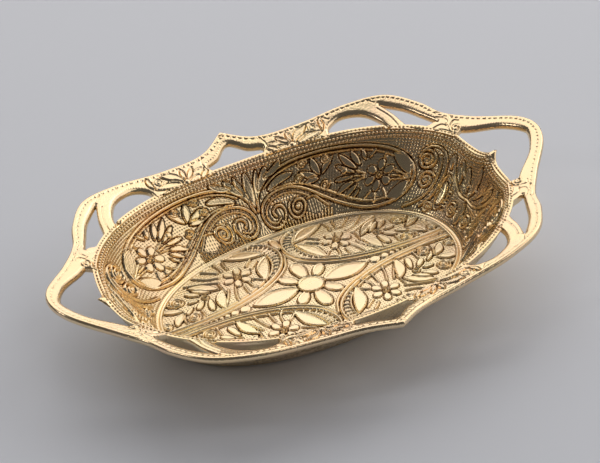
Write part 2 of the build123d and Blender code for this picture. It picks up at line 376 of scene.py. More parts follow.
def floor_rays(s):
    """Fine stems that fan out from the flower."""
    rays = [
        [(26.5, 20), (25.8, 15.5), (23.2, 11.4)],
        [(30.2, 17.5), (30.4, 10)],
        [(34.5, 19.5), (36.6, 14), (38, 8)],
        [(38.5, 20), (41, 15), (46.5, 6.8)],
        [(31.2, 36.5), (31.6, 39.5), (31, 43)],
        [(34.8, 36.2), (35.3, 40), (36, 43.6)],
        [(37.5, 35.8), (41, 38.6), (44.5, 41.5)],
        [(38.5, 32), (44, 33.6), (50.5, 38.4)],
        [(40.5, 28.2), (46, 30.6), (57, 34.6)],
        [(20.5, 29.5), (17.6, 31.5), (15, 33.6)],
        [(21.8, 32.8), (19.6, 35.2), (17.4, 36.8)],
        [(19.2, 17.4), (21.4, 19.6), (23.6, 20.8)],
        [(57.8, 5.6), (57.8, 11.8)],
        [(68.6, 6), (68.4, 9.5), (66.5, 13.6)],
    ]
    for points in rays:
        line = smooth(points, 6)
        s.ridge(line, 1.15, 0.7)


def floor_spray(s):
    """Spray of pointed and round-ended leaves towards the end of the dish."""
    for base, tip, width, bend in (
        ((42.4, 22.4), (56.6, 32.4), 4.6, 0.8),
        ((47.5, 23.0), (56.0, 29.6), 2.6, -0.4),
        ((41.4, 21.6), (47.2, 6.6), 5.6, 0.9),
        ((66.6, 16.4), (76.6, 20.4), 4.0, 0.4),
        ((66.8, 14.6), (74.2, 6.6), 4.4, 0.6),
    ):
        s.dome(leaf_ring(base, tip, width, bend), 0.95, edge=1.5)
    for base, tip, width in (
        ((53.4, 23.6), (59.8, 28.4), 3.6),
        ((50.0, 17.8), (52.6, 8.6), 4.2),
        ((53.6, 18.4), (59.2, 13.4), 3.6),
        ((55.8, 20.6), (61.4, 20.8), 2.6),
        ((60.5, 16.5), (65.8, 12.6), 2.4),
        ((67.6, 20.5), (72.0, 25.2), 2.2),
    ):
        s.dome(drop_ring(base, tip, width), 0.9, edge=1.3)
    s.loop(circle_ring((51.6, 20.6), 1.5), 0.9, 0.9)
    s.ridge(smooth([(41.2, 26.4), (41.0, 22), (40.6, 18)]), 1.0, 0.7)


MIDDLE_TURNS = np.radians(np.linspace(90, 0, 1801))
MIDDLE_RADII = oval_radius(MIDDLE_TURNS, floor_half_length + 15, floor_half_width + 15.5)
MIDDLE_X = MIDDLE_RADII * np.cos(MIDDLE_TURNS)
MIDDLE_Y = MIDDLE_RADII * np.sin(MIDDLE_TURNS)
MIDDLE_RUN = np.concatenate([[0], np.cumsum(np.hypot(np.diff(MIDDLE_X), np.diff(MIDDLE_Y)))])
QUARTER = MIDDLE_RUN[-1]


def turn_of(run):
    """Plan angle at a length along the middle of the wall from the short axis."""
    return np.interp(run, MIDDLE_RUN, MIDDLE_TURNS)


def draw_wall():
    """Ornament of one quarter of the wall, unrolled: run from the short axis, height up the slope."""
    s = Sheet((-3, -1), (QUARTER + 3, WALL_DRAWN + 1), 0.24)
    x, y = s.x, s.y
    hatch = np.cos(2 * np.pi * (x + 0.35 * y) / 1.7) * (0.65 + 0.35 * np.cos(2 * np.pi * (y - 0.2 * x) / 2.1))
    panel = smooth([(47, 9.2), (40, 12.6), (33, 16.6), (26, 19.8), (18, 21.2), (9.6, 19.6), (4.0, 15.0),
                    (2.4, 9.6), (4.4, 4.8), (9.6, 2.6), (15.0, 4.2), (17.4, 8.4), (15.6, 12.6), (11.8, 13.2),
                    (9.4, 10.6), (10.8, 8.2)])
    curl = smooth([(33, 13.6), (26, 17.0), (18, 18.4), (10.8, 17.0), (6.6, 13.6), (5.2, 9.6), (6.8, 6.2),
                   (10.2, 5.0), (13.4, 6.6)])
    top = smooth([(1.2, 14), (2.6, 20), (6.6, 26), (13, 31), (22, 34.2), (36, 35.6), (52, 35.2), (66, 33.6),
                  (78, 30.8), (86.4, 26.6), (91.4, 21.4), (93.2, 16.6), (92, 11), (87.6, 6.4), (79, 3.4),
                  (70, 3.0), (60, 4.8), (52, 7.2), (47, 9.2)])
    inner = smooth([(8, 24.6), (14.4, 28.8), (23, 31.9), (36, 33.3), (52, 32.9), (65, 31.3), (76.6, 28.4),
                    (84.4, 24.6), (88.6, 20.4), (90.2, 16.6), (89, 12.2), (85, 8.8), (78, 6.2), (70, 5.8),
                    (61, 7.4), (52, 10.4), (43, 14.4), (35, 18.2), (27, 21.4), (18, 22.6), (11, 22.0)])
    s.z -= np.where((y < 12) & (x < 52), 0.3 * np.clip(hatch, 0, 1) ** 2, stipple(x, y))
    s.ridge(top, 1.8, 1.2)
    s.ridge(panel, 1.7, 1.2)
    s.ridge(curl, 1.1, 0.8)
    s.ridge(inner, 1.2, 0.8)
    wall_leaves(s)
    wall_curls(s)
    flower(s, (73.4, 17.6), 8.0, 6, 0.5, 0.95)
    wall_end(s)
    wall_foot(s)
    return s


def wall_leaves(s):
    """Leaves of the wall panel and the fan of leaves at the short axis."""
    for base, tip, width, bend in (
        ((0, 15.5), (0, 37.6), 5.0, 0),
        ((1.8, 18.5), (6.2, 36.8), 3.4, -0.6),
        ((78.4, 29.0), (91.4, 17.8), 6.4, 1.0),
        ((91.4, 15.6), (81.4, 6.4), 6.6, 1.2),
        ((60.4, 22.0), (49.6, 31.4), 3.2, 0.8),
        ((62.0, 23.4), (55.8, 32.2), 3.0, 0.4),
        ((64.4, 26.0), (61.8, 31.8), 2.4, 0.0),
        ((60.2, 15.6), (50.2, 10.2), 3.2, -0.8),
        ((61.8, 13.8), (56.2, 8.2), 2.8, -0.4),
        ((63.8, 11.8), (61.0, 7.6), 2.0, -0.2),
        ((40.0, 22.4), (35.2, 33.0), 3.8, 0.6),
        ((41.2, 22.6), (46.6, 31.6), 3.4, 0.6),
        ((39.0, 22.0), (28.6, 27.0), 3.4, 0.7),
        ((39.6, 20.8), (30.6, 19.8), 3.0, -0.4),
        ((96.0, 21.6), (93.4, 27.0), 2.2, 0.0),
    ):
        s.dome(leaf_ring(base, tip, width, bend), 1.0, edge=1.4)
    for base, tip, width, bend in (
        ((9.6, 22.6), (24.6, 27.8), 5.4, 1.2),
        ((4.6, 24.0), (11.2, 36.2), 5.0, -0.8),
        ((9.6, 30.0), (19.4, 37.0), 4.6, -1.0),
        ((59.4, 20.2), (48.6, 25.2), 2.9, 0.4),
        ((59.2, 18.2), (48.4, 17.4), 2.9, 0.0),
        ((66.4, 26.6), (69.2, 32.0), 2.0, 0),
    ):
        s.dome(drop_ring(base, tip, width, bend), 0.95, edge=1.3)
    for points in (
        [(59.5, 18.4), (62.4, 18.2), (65.2, 18.0)],
        [(60.2, 21.0), (63.0, 19.8), (65.2, 19.0)],
        [(80.6, 17.4), (86, 17.2), (91.6, 17)],
        [(79.6, 20.4), (85, 18.8), (90.8, 17.4)],
        [(79.6, 15.2), (85.4, 15.8), (90.8, 16.4)],
        [(73.4, 9), (74.4, 6.6), (74.6, 4.6)],
        [(77.6, 11), (80, 8.4), (81.2, 6.6)],
        [(74, 26), (74.2, 28.6)],
        [(60.2, 15.6), (62.8, 16.4), (65.2, 17.0)],
        [(70.6, 10), (68.6, 7.6), (67.6, 6.6)],
    ):
        s.ridge(smooth(points, 6), 1.0, 0.65)


def wall_curls(s):
    """Curls scattered in the wall panel and the large eye under it."""
    for centre, radius, way in (
        ((30.4, 31.0), 2.7, 1),
        ((42.6, 30.6), 2.5, -1),
        ((28.0, 23.6), 2.6, 1),
        ((42.8, 16.8), 2.9, -1),
        ((53.4, 21.4), 1.2, 1),
    ):
        s.spiral(centre, radius, turns=1.8, way=way, width=0.95)
    s.spiral((26.0, 9.6), 6.2, turns=2.1, start=2.6, width=1.5, height=1.0, way=1)
    s.ridge(smooth([(31.6, 12.4), (36, 13.0), (41, 9.6), (46, 6.4)]), 1.2, 0.8)
    for row, first in ((17.4, 9.0), (15.2, 10.0)):
        for k in range(9):
            s.bump((first + 2.0 * k, row), 0.62, 0.55)


def wall_end(s):
    """Motif of the end walls: two curls held by wide bows, and a drop on the long axis."""
    s.spiral((97.4, 26.6), 5.6, turns=2.0, start=2.2, width=1.5, height=1.1, way=-1)
    s.spiral((100.6, 16.6), 4.8, turns=1.7, start=0.6, width=1.5, height=1.1, way=1)
    for points in (
        [(92.8, 27.6), (95.4, 32.6), (101, 34.6), (106.6, 32.0), (109.2, 26), (109.4, 18), (107.6, 10),
         (103.4, 4.4)],
        [(104.6, 29.4), (106.0, 24), (106.0, 17), (104.0, 10.6), (99.4, 6.0), (93.6, 3.2)],
        [(118.6, 34), (121.6, 28.4), (126, 24.6), (132, 23.4)],
        [(112, 34.4), (114.6, 28), (118.4, 22), (124.4, 17.6), (132, 16.4)],
    ):
        s.ridge(smooth(points), 1.5, 1.0)
    s.dome(drop_ring((113.2, 20.0), (113.8, 7.4), 5.4, 0.5), 1.0, edge=1.8)
    s.loop(drop_ring((113.0, 23.4), (113.8, 5.2), 8.6, 0.5), 1.0, 0.8)
    s.spiral((108.0, 4.6), 3.0, turns=1.5, width=1.1)
    for base, tip, width, bend in (
        ((112.4, 26.0), (111.4, 34.4), 3.0, 0.3),
        ((121.6, 22.0), (117.6, 32.6), 3.4, 0.3),
        ((QUARTER, 18.4), (QUARTER, 35.4), 5.0, 0),
        ((QUARTER - 3.4, 19.2), (QUARTER - 8.4, 33.4), 3.4, 0.6),
    ):
        s.dome(leaf_ring(base, tip, width, bend), 1.0, edge=1.5)
    s.spiral((124.6, 9.6), 4.4, turns=1.8, width=1.3, height=1.0, way=-1)
    for k in range(6):
        s.ridge(np.array([(117.2, 6.4 + 2.0 * k), (119.2, 6.4 + 2.0 * k)]), 0.9, 0.6)
    s.dome(drop_ring((QUARTER, 14.8), (QUARTER, 3.6), 6.4), 1.0, edge=1.8)


def wall_foot(s):
    """Row of short upright bars along the foot of the wall."""
    for k in range(18):
        run = 12.6 + 2.1 * k
        s.ridge(np.array([(run, 1.8), (run - 0.6, 4.2 + 1.2 * np.sin(k * 0.9))]), 1.1, 0.6)
    s.ridge(np.array([(-4, 0.4), (QUARTER + 4, 0.4)]), 1.6, 0.5)


def make_mesh(name, points, faces, relief=None, sharp=None):
    """New piece from points in millimetres and faces, with its relief kept for the material."""
    mesh = bpy.data.meshes.new(name)
    mesh.from_pydata(np.asarray(points) * MM, [], faces)
    mesh.update()
    if relief is not None:
        # The gold material reads this value to paint shade into the grooves and hollows; flat sheet maps to
        # the plain tint.
        layer = mesh.attributes.new("relief", "FLOAT", "POINT")
        layer.data.foreach_set("value", np.clip(0.4 + 0.45 * np.asarray(relief, np.float32), 0, 1))
    mesh.shade_smooth()
    if sharp:
        mesh.set_sharp_from_angle(angle=np.radians(sharp))
    obj = bpy.data.objects.new(name, mesh)
    bpy.context.scene.collection.objects.link(obj)
    return obj


def grid_faces(rows, cols, wrap_rows=False):
    """Quads of a grid of rows by cols points, joined back to the first row if wrapped."""
    i = np.arange(rows if wrap_rows else rows - 1)[:, None]
    j = np.arange(cols - 1)[None, :]
    a = i * cols + j
    b = ((i + 1) % rows) * cols + j
    return np.stack([a, a + 1, b + 1, b], -1).reshape(-1, 4)


def floor_quarter(name, side, end, ornament):
    """Quarter of the floor, raised on top and flat underneath.

    A square grid (u, v) is pressed into a quarter disc, u times the root of 1 - v * v / 2 and the same
    with u and v swapped, and stretched to the floor's oval. The top is the sheet plus the ornament.
    """
    nx, ny = floor_cells
    u, v = np.meshgrid(np.linspace(0, 1, nx + 1), np.linspace(0, 1, ny + 1))
    p = u * np.sqrt(1 - v * v / 2)
    q = v * np.sqrt(1 - u * u / 2)
    turn = np.arctan2(q * floor_half_width, p * floor_half_length)
    r = np.hypot(p, q) * oval_radius(turn, floor_half_length, floor_half_width)
    x = r * np.cos(turn)
    y = r * np.sin(turn)
    height = ornament.read(x, y)
    top = np.column_stack([side * x.ravel(), end * y.ravel(), (sheet + height).ravel()])
    index = np.arange((ny + 1) * (nx + 1)).reshape(ny + 1, nx + 1)
    ring = np.concatenate([index[0, :-1], index[:-1, -1], index[-1, :0:-1], index[:0:-1, 0]])
    under = top[ring].copy()
    under[:, 2] = 0
    low = len(top) + np.arange(len(ring))
    skirt = np.column_stack([ring, low, np.roll(low, -1), np.roll(ring, -1)])
    faces = grid_faces(ny + 1, nx + 1).tolist() + skirt.tolist() + [low[::-1].tolist()]
    if side * end < 0:
        faces = [f[::-1] for f in faces]
    relief = np.concatenate([height.ravel(), np.zeros(len(ring))])
    return make_mesh(name, np.vstack([top, under]), faces, relief, sharp=60)


def bracket_push(turn):
    """How far the lip is drawn out into the handle opening: an ogee point on the long axis."""
    y = np.abs(np.sin(turn)) * lip_half_length
    share = np.clip(1 - y / ogee_half_width, 0, 1)
    return bracket_reach * (0.35 * share + 0.65 * share ** 3)


def scallop(turn):
    """How far the lip dips below the rim between the knuckle and the ogee point."""
    y = np.abs(np.sin(turn)) * lip_half_length
    share = np.clip((y - 1.0) / scallop_length, 0, 1)
    return scallop_depth * np.sin(np.pi * share ** 0.8) ** 0.8


def joined(turn):
    """Share of the lip that a casting covers at each plan angle, softened at the openings' ends."""
    radius = oval_radius(turn, lip_half_length + 1.6, lip_half_width + 1.6)
    gap = border_gap(radius * np.cos(turn), radius * np.sin(turn))
    return np.clip(gap / 1.6 + 0.2, 0, 1)


def wall_quarter(name, start, ornament):
    """Quarter of the wall as a closed ring of profiles: inside, lip, outside and foot.

    Each profile follows the wall's oval at one height. The ornament lifts the inner face inward and up,
    and the outer face sinks inward behind it by half of the ornament's height.
    """
    forward = start in (0, 2)
    run = np.linspace(0, QUARTER, wall_columns)
    if not forward:
        run = run[::-1]
    turn = turn_of(run)
    quarter_turn = {0: turn, 1: np.pi - turn, 2: np.pi + turn, 3: 2 * np.pi - turn}[start]
    dip = scallop(turn)
    top = lip_level(turn, wall_across) - dip
    outer_top = lip_level(turn, 0) - dip
    covered = joined(turn)
    rows = []
    reliefs = []

    def add(x, y, z, relief=0.0):
        radius = np.hypot(x, y)
        rows.append(np.column_stack([radius * np.cos(quarter_turn), radius * np.sin(quarter_turn), z]))
        reliefs.append(np.broadcast_to(relief, z.shape).copy())

    for share in np.linspace(0, 1, wall_rows):
        z = sheet + (top - 0.5 - sheet) * share
        x, y = wall_point(turn, z, wall_across)
        height = ornament.read(run, np.full_like(run, share * WALL_DRAWN))
        out = height * 0.74
        radius = np.hypot(x, y)
        x = x * (1 - out / radius)
        y = y * (1 - out / radius)
        add(x, y, z + height * 0.66, height)
    push = bracket_push(turn)
    for share, sink in ((0.12, 0.12), (0.3, 0.0), (0.75, 0.0), (0.95, 0.2), (1.0, 0.6)):
        z = top + (outer_top - top) * share
        x, y = wall_point(turn, z, wall_across * (1 - share))
        x = x + push * share
        add(x, y, rim_height(x, y) - dip - sink - 0.9 * covered, 0.6)
    z = outer_top - 1.8
    x, y = wall_point(turn, z, 0)
    add(x + push * 0.97, y, rim_height(x + push, y) - dip - 1.5, 0.6)
    add(x + push * 0.6, y, rim_height(x + push, y) - dip - 1.9, 0.6)
    for share in np.linspace(0.95, 0, wall_back_rows):
        z = outer_top * share
        x, y = wall_point(turn, z, 0)
        height = ornament.read(run, np.full_like(run, share * WALL_DRAWN))
        out = -height * 0.5
        radius = np.hypot(x, y)
        x = x * (1 + out / radius)
        y = y * (1 + out / radius)
        add(x, y, np.maximum(z, 0), 0.4)
    x, y = wall_point(turn, np.full_like(turn, sheet), wall_across + 0.6)
    add(x, y, np.zeros_like(turn), 0.0)
    points = np.vstack(rows)
    relief = np.concatenate(reliefs)
    count = len(rows)
    faces = grid_faces(count, wall_columns, wrap_rows=True)
    if not forward:
        faces = faces[:, ::-1]
    faces = faces.tolist()
    cap = np.arange(count) * wall_columns
    caps = [cap.tolist(), (cap[::-1] + wall_columns - 1).tolist()]
    if forward:
        caps = [c[::-1] for c in caps]
    return make_mesh(name, points, faces + caps, relief, sharp=60)


def border_outline():
    """Quarter of the border's outer plan, from the handle to the point."""
    L, W = half_length, half_width
    points = [(L, 0), (L - 3.3, 12), (L - 20.2, 32.1), (L - 30.5, W - 54), (L - 36.2, W - 40),
              (L - 48.8, W - 23.5), (L - 69.6, W - 16.1), (L - 99.6, W - 13.4), (15.9, W - 9.7), (0, W)]
    first = [(L - 3.3, -12)]
    return smooth(first + points, 14)[14:]


def handle_opening():
    """Upper half of the finger opening, as an open line from the long axis back to it."""
    L, a = half_length, lip_half_length
    bow = smooth([(L - rail_width - 2.4, -8), (L - rail_width, 0), (L - rail_width - 6.7, 13.3),
                  (L - rail_width - 19.5, 24.2), (a - 1.8, 27.8)], 10)[10:]
    return np.vstack([bow, [(a - 6, 26.4), (a - 6, 0)]])


def outer_corner_opening():
    """Opening between the shoulder rail and the strut."""
    L, W, a, b = half_length, half_width, lip_half_length, lip_half_width
    low = (L - 35.9, W - 57.9)
    foot = (a - 17.5, b - 35)
    tip = (L - 54.8, W - 27.4)
    rail = smooth([low, (L - 40, W - 49.1), (L - 45.5, W - 38.4), tip], 10)
    strut = smooth([tip, (a - 23.4, b - 16), (a - 21.6, b - 26.4), foot], 10)
    return np.vstack([rail, strut[1:]])


def inner_corner_opening():
    """Opening between the strut, the lip and the floral panel."""
    L, W, a, b = half_length, half_width, lip_half_length, lip_half_width
    heel = (a - 30.9, b - 22.9)
    panel = (a - 59.6, b - 8.3)
    over = smooth([heel, (a - 32.4, b - 14.4), (L - 66.2, W - 27), (L - 77.3, W - 22.3),
                   (L - 85.4, W - 25), panel])
    under = smooth([panel, (a - 46, b - 12), (a - 37.5, b - 17.6), heel], 10)
    return np.vstack([over, under[1:]])


def point_opening():
    """Right half of the opening under the point, as an open line from the short axis back to it."""
    W, b = half_width, lip_half_width
    eave = smooth([(-8.8, W - 15.4), (0, W - 8.8), (8.8, W - 15.4), (15.6, b + 4.1)], 10)[10:]
    return np.vstack([eave, [(16.6, b + 2.9), (16.1, b + 1.7)], [(14, b - 1), (0, b - 3)]])


OUTLINE = border_outline()
OUTLINE_RUN = np.linalg.norm(np.diff(OUTLINE, axis=0), axis=1).sum()
OPENINGS = [handle_opening(), outer_corner_opening(), inner_corner_opening(), point_opening()]


def border_gap(x, y):
    """Distance in from the nearest free edge of the border, negative outside it."""
    x = np.abs(x)
    y = np.abs(y)
    outside_ring = np.vstack([OUTLINE, [(0, -1), (half_length, -1)]])
    gap, _ = distance_to(x, y, OUTLINE)
    gap = np.where(inside(x, y, outside_ring), gap, -gap)
    for line in OPENINGS:
        near = (x > line[:, 0].min() - REACH) & (x < line[:, 0].max() + REACH)
        near &= (y > line[:, 1].min() - REACH) & (y < line[:, 1].max() + REACH)
        if not near.any():
            continue
        px, py = x[near], y[near]
        d, _ = distance_to(px, py, line)
        ring = line
        if line[0][1] == 0:
            ring = np.vstack([line, [(line[-1][0], -1), (line[0][0], -1)]])
        hole = inside(px, py, ring)
        gap[near] = np.minimum(gap[near], np.where(hole, -d, d))
    return gap


def draw_border():
    """Ornament of one quarter of the border, in plan: lily panel, knuckle curls and strut lines."""
    s = Sheet((-2, -2), (half_length + 1, half_width + 1), 0.22)
    for base, tip, width, bend in (
        ((31.6, 74.6), (19.6, 81.0), 5.0, 0.6),
        ((30.6, 74.0), (20.2, 75.4), 3.2, -0.6),
        ((31.0, 76.4), (25.4, 83.2), 2.2, 0.3),
        ((32.2, 76.6), (31.8, 83.6), 2.2, 0.0),
        ((33.0, 76.0), (44.0, 82.6), 4.0, 0.8),
        ((34.6, 75.4), (42.4, 77.8), 2.6, -0.3),
        ((34.4, 73.6), (49.8, 74.6), 3.2, 0.8),
        ((50.6, 75.2), (52.2, 83.0), 2.2, -0.4),
        ((35.0, 71.4), (47.6, 70.6), 2.4, 0.0),
        ((17.6, 79.4), (23.6, 73.4), 2.2, 0.5),
    ):
        s.dome(leaf_ring(base, tip, width, bend), 0.6, edge=1.3, groove=1.2)
    s.spiral((46.6, 79.0), 3.1, turns=2.0, width=0.95, height=0.45)
    s.spiral((108.4, 30.4), 3.2, turns=1.6, width=1.3, height=0.5, start=2.0)
    s.bump((31.6, 75.0), 1.5, 0.7)
    for points in (
        [(104.4, 44.6), (107.2, 41.6), (107.8, 38.2), (105.4, 36.0)],
        [(106.4, 47.4), (109.8, 43.0), (111.2, 38.4)],
        [(99.4, 38.8), (103.6, 38.4), (106.2, 35.4)],
        [(96.8, 36.6), (101.4, 35.8), (104.6, 31.2), (106.4, 24.0)],
        [(112.4, 33.6), (110.6, 35.8), (107.6, 34.4)],
        [(86.2, 40.4), (85.2, 46.8), (86.0, 54.0), (85.4, 62.0), (82.6, 70.4)],
        [(89.8, 39.6), (87.2, 44.0), (87.0, 50.0)],
        [(83.4, 74.6), (80.4, 78.6)],
        [(57.0, 79.2), (54.0, 82.6)],
        [(17.4, 87.6), (19.0, 83.0), (17.8, 78.6)],
    ):
        s.groove(smooth(points, 6), 0.95, 0.45)
    s.groove(smooth([(-3, 97.4), (0, 96.2), (3, 97.4)], 6), 0.9, 0.45)
    for k in range(15):
        s.bump((18.6 + 2.0 * k, 71.4 + 1.6 * np.sin(0.12 * k + 1.9)), 0.75, 0.45)
    return s


def edge_drop(gap, radius):
    """Drop of a quarter-round edge of the given radius at a distance in from the edge."""
    left = np.clip(radius - gap, 0, None)
    return radius - np.sqrt(np.clip(radius ** 2 - left ** 2, 0, None))


def border_piece(name, low, high, belongs, ornament):
    """One casting: the cells of a fine plan grid whose middles belong to it, lifted to the rim.

    Points near a free edge are moved onto it down the slope of the gap. The top follows the rim's
    surface, less a quarter round at the edges, plus the relief. The underside is the same, a casting
    lower, with a smaller round.
    """
    nx = int((high[0] - low[0]) / border_pitch)
    ny = int((high[1] - low[1]) / border_pitch)
    x, y = np.meshgrid(low[0] + border_pitch * np.arange(nx + 1), low[1] + border_pitch * np.arange(ny + 1))
    gap = border_gap(x, y)
    mid_x = (x[:-1, :-1] + x[1:, 1:]) / 2
    mid_y = (y[:-1, :-1] + y[1:, 1:]) / 2
    mid_gap = (gap[:-1, :-1] + gap[1:, 1:] + gap[1:, :-1] + gap[:-1, 1:]) / 4
    turn = np.arctan2(mid_y, mid_x)
    seat = oval_radius(turn, lip_half_length - 2.2, lip_half_width - 2.2)
    keep = belongs(mid_x, mid_y) & (mid_gap > 0) & (np.hypot(mid_x, mid_y) > seat)
    row, col = np.nonzero(keep)
    a = row * (nx + 1) + col
    quads = np.column_stack([a, a + 1, a + nx + 2, a + nx + 1])
    used, quads = np.unique(quads, return_inverse=True)
    quads = quads.reshape(-1, 4)
    px, py, pg = x.ravel()[used], y.ravel()[used], gap.ravel()[used]
    edges = np.concatenate([quads[:, [k, (k + 1) % 4]] for k in range(4)])
    key = np.minimum(edges[:, 0], edges[:, 1]) * len(used) + np.maximum(edges[:, 0], edges[:, 1])
    _, first, count = np.unique(key, return_index=True, return_counts=True)
    rim_edges = edges[first[count == 1]]
    on_rim = np.zeros(len(used), bool)
    on_rim[rim_edges.ravel()] = True
    near = on_rim & (np.abs(pg) < 1.1 * border_pitch)
    for _ in range(2):
        step = 0.05
        g = border_gap(px[near], py[near])
        gx = (border_gap(px[near] + step, py[near]) - g) / step
        gy = (border_gap(px[near], py[near] + step) - g) / step
        size = np.maximum(gx * gx + gy * gy, 0.2)
        px[near] -= g * gx / size
        py[near] -= g * gy / size
    pg = np.clip(border_gap(px, py), 0, None)
    round_top = edge_drop(pg, edge_round)
    round_low = edge_drop(pg, edge_round * 0.6)
    height = border_relief(px, py, pg, ornament)
    level = rim_height(px, py)
    top = np.column_stack([px, py, level - round_top + height])
    under = np.column_stack([px, py, level - casting_depth + round_low])
    n = len(used)
    walls = np.column_stack([rim_edges[:, 1], rim_edges[:, 0], rim_edges[:, 0] + n, rim_edges[:, 1] + n])
    faces = np.vstack([quads, quads[:, ::-1] + n, walls]).tolist()
    # The relief is raised by 0.6 here, so only the border's deepest hollows take the material's painted
    # shade.
    relief = np.concatenate([0.6 + height, np.full(n, 0.5)])
    return make_mesh(name, np.vstack([top, under]), faces, relief, sharp=62)


def border_relief(x, y, gap, ornament):
    """Relief of the border: a dashed groove inside the outer edge with short ticks across it."""
    x = np.abs(x)
    y = np.abs(y)
    edge, share = distance_to(x, y, OUTLINE)
    run = share * OUTLINE_RUN
    dashes = np.clip(0.62 + 1.1 * np.cos(2 * np.pi * run / 3.1), 0, 1)
    line = -0.42 * dashes * np.exp(-((edge - 3.1) / 0.34) ** 2)
    tick_phase = np.abs((run / 4.65) % 1 - 0.5) * 4.65
    ticks = -0.22 * np.exp(-(tick_phase / 0.28) ** 2) * np.exp(-((edge - 3.0) / 1.1) ** 4)
    bead_phase = np.cos(2 * np.pi * run / 1.45)
    purl = -0.10 * np.clip(bead_phase, 0, 1) * np.exp(-((gap - 1.6) / 0.4) ** 2) * (edge > 4.2)
    return line + ticks + purl + ornament.read(x, y) * np.clip((gap - 0.4) / 1.2, 0, 1)


def gold(name, tint, low_rough, high_rough, grain):
    """Polished gold with painted shade: the colour turns dark brown in the hollows of the relief; colour and
    roughness are mottled by noise, and the surface is finely dimpled.
    """
    mat = bpy.data.materials.new(name)
    mat.use_nodes = True
    nodes = mat.node_tree.nodes
    links = mat.node_tree.links
    shader = nodes["Principled BSDF"]
    shader.inputs["Metallic"].default_value = 1.0
    place = nodes.new("ShaderNodeTexCoord")
    height = nodes.new("ShaderNodeAttribute")
    height.attribute_name = "relief"
    # Painted shade: where the relief sinks into grooves and hollows, the base colour falls to a dark brown of
    # a fifth of the tint or less.
    painted_hollow_shade = nodes.new("ShaderNodeValToRGB")
    painted_hollow_shade.color_ramp.elements[0].position = 0.22
    painted_hollow_shade.color_ramp.elements[0].color = (tint[0] * 0.2, tint[1] * 0.12, tint[2] * 0.07, 1)
    painted_hollow_shade.color_ramp.elements[1].position = 0.40
    painted_hollow_shade.color_ramp.elements[1].color = (*tint, 1)
    cloud = nodes.new("ShaderNodeTexNoise")
    cloud.inputs["Scale"].default_value = 60
    cloud.inputs["Detail"].default_value = 4
    shade = nodes.new("ShaderNodeMix")
    shade.data_type = "RGBA"
    shade.blend_type = "MULTIPLY"
    shade.inputs["Factor"].default_value = 0.16
    rough = nodes.new("ShaderNodeMapRange")
    rough.inputs["To Min"].default_value = low_rough
    rough.inputs["To Max"].default_value = high_rough
    fine = nodes.new("ShaderNodeTexNoise")
    fine.inputs["Scale"].default_value = grain
    fine.inputs["Detail"].default_value = 3
    bump = nodes.new("ShaderNodeBump")
    bump.inputs["Strength"].default_value = 0.25
    bump.inputs["Distance"].default_value = 0.0004
    links.new(place.outputs["Object"], cloud.inputs["Vector"])
    links.new(place.outputs["Object"], fine.inputs["Vector"])
    links.new(height.outputs["Fac"], painted_hollow_shade.inputs["Fac"])
    links.new(painted_hollow_shade.outputs["Color"], shade.inputs[6])
    links.new(cloud.outputs["Color"], shade.inputs[7])
    links.new(shade.outputs[2], shader.inputs["Base Color"])
    links.new(cloud.outputs["Fac"], rough.inputs["Value"])
    links.new(rough.outputs["Result"], shader.inputs["Roughness"])
    links.new(fine.outputs["Fac"], bump.inputs["Height"])
    links.new(bump.outputs["Normal"], shader.inputs["Normal"])
    return mat


def bead_shape(around, rings):
    """Points and faces of half a bead: a dome of unit radius with a flat back."""
    lat = np.linspace(0, np.pi / 2, rings)
    lon = np.linspace(0, 2 * np.pi, around, endpoint=False)
    points = [(np.cos(a) * np.cos(b), np.cos(a) * np.sin(b), np.sin(a)) for a in lat[:-1] for b in lon]
    points.append((0, 0, 1))
    faces = []
    for i in range(rings - 2):
        for j in range(around):
            k = (j + 1) % around
            faces.append((i * around + j, i * around + k, (i + 1) * around + k, (i + 1) * around + j))
    for j in range(around):
        last = (rings - 2) * around
        faces.append((last + j, last + (j + 1) % around, last + around))
    faces.append(tuple(range(around))[::-1])
    return np.array(points), faces


def unit(vectors):
    """The vectors scaled to length one."""
    return vectors / np.linalg.norm(vectors, axis=1)[:, None]


def bead_row(drop, inset, size, lean, flat):
    """Bead centres and axes of one row, at a drop below the lip, on the wall or flat on the lip."""
    def spot(turn):
        z = lip_level(turn, inset) - scallop(turn) - drop
        x, y = wall_point(turn, z, inset)
        return np.column_stack([x, y, z])

    fine = np.linspace(0, 2 * np.pi, 4001)
    steps = np.linalg.norm(np.diff(spot(fine), axis=0), axis=1)
    run = np.concatenate([[0], np.cumsum(steps)])
    count = int(round(run[-1] / bead_pitch / 4)) * 4
    turn = np.interp((np.arange(count) + 0.5) / count * run[-1], run, fine)
    centre = spot(turn)
    along = unit(spot(turn + 0.002) - centre)
    if flat:
        out = np.tile([0.0, 0.0, 1.0], (count, 1))
    else:
        x, y = wall_point(turn, centre[:, 2] + 0.5, inset)
        slope = unit(np.column_stack([x, y, centre[:, 2] + 0.5]) - centre)
        out = unit(np.cross(slope, along))
    across = np.cross(out, along)
    first = unit(along * np.cos(lean) + across * np.sin(lean))
    second = np.cross(out, first)
    return centre - 0.1 * out, first * size[0], second * size[1], out * size[2]


def bead_rows():
    """Rows of oval beads on the lip and round the inside of the wall under it, as one piece."""
    dome, faces = bead_shape(10, 4)
    points = []
    all_faces = []
    for row in (
        (0.0, 1.3, (0.8, 0.62, 0.6), 0.3, True),
        (1.8, wall_across, (1.0, 0.86, 1.05), 0.5, False),
        (3.8, wall_across, (1.05, 0.84, 1.0), 0.5, False),
    ):
        for centre, first, second, out in zip(*bead_row(*row)):
            base = len(points) * len(dome)
            points.append(centre + dome[:, :1] * first + dome[:, 1:2] * second + dome[:, 2:] * out)
            all_faces += [[base + v for v in f] for f in faces]
    points = np.vstack(points)
    return make_mesh("bead_rows", points, all_faces, np.full(len(points), 0.8))


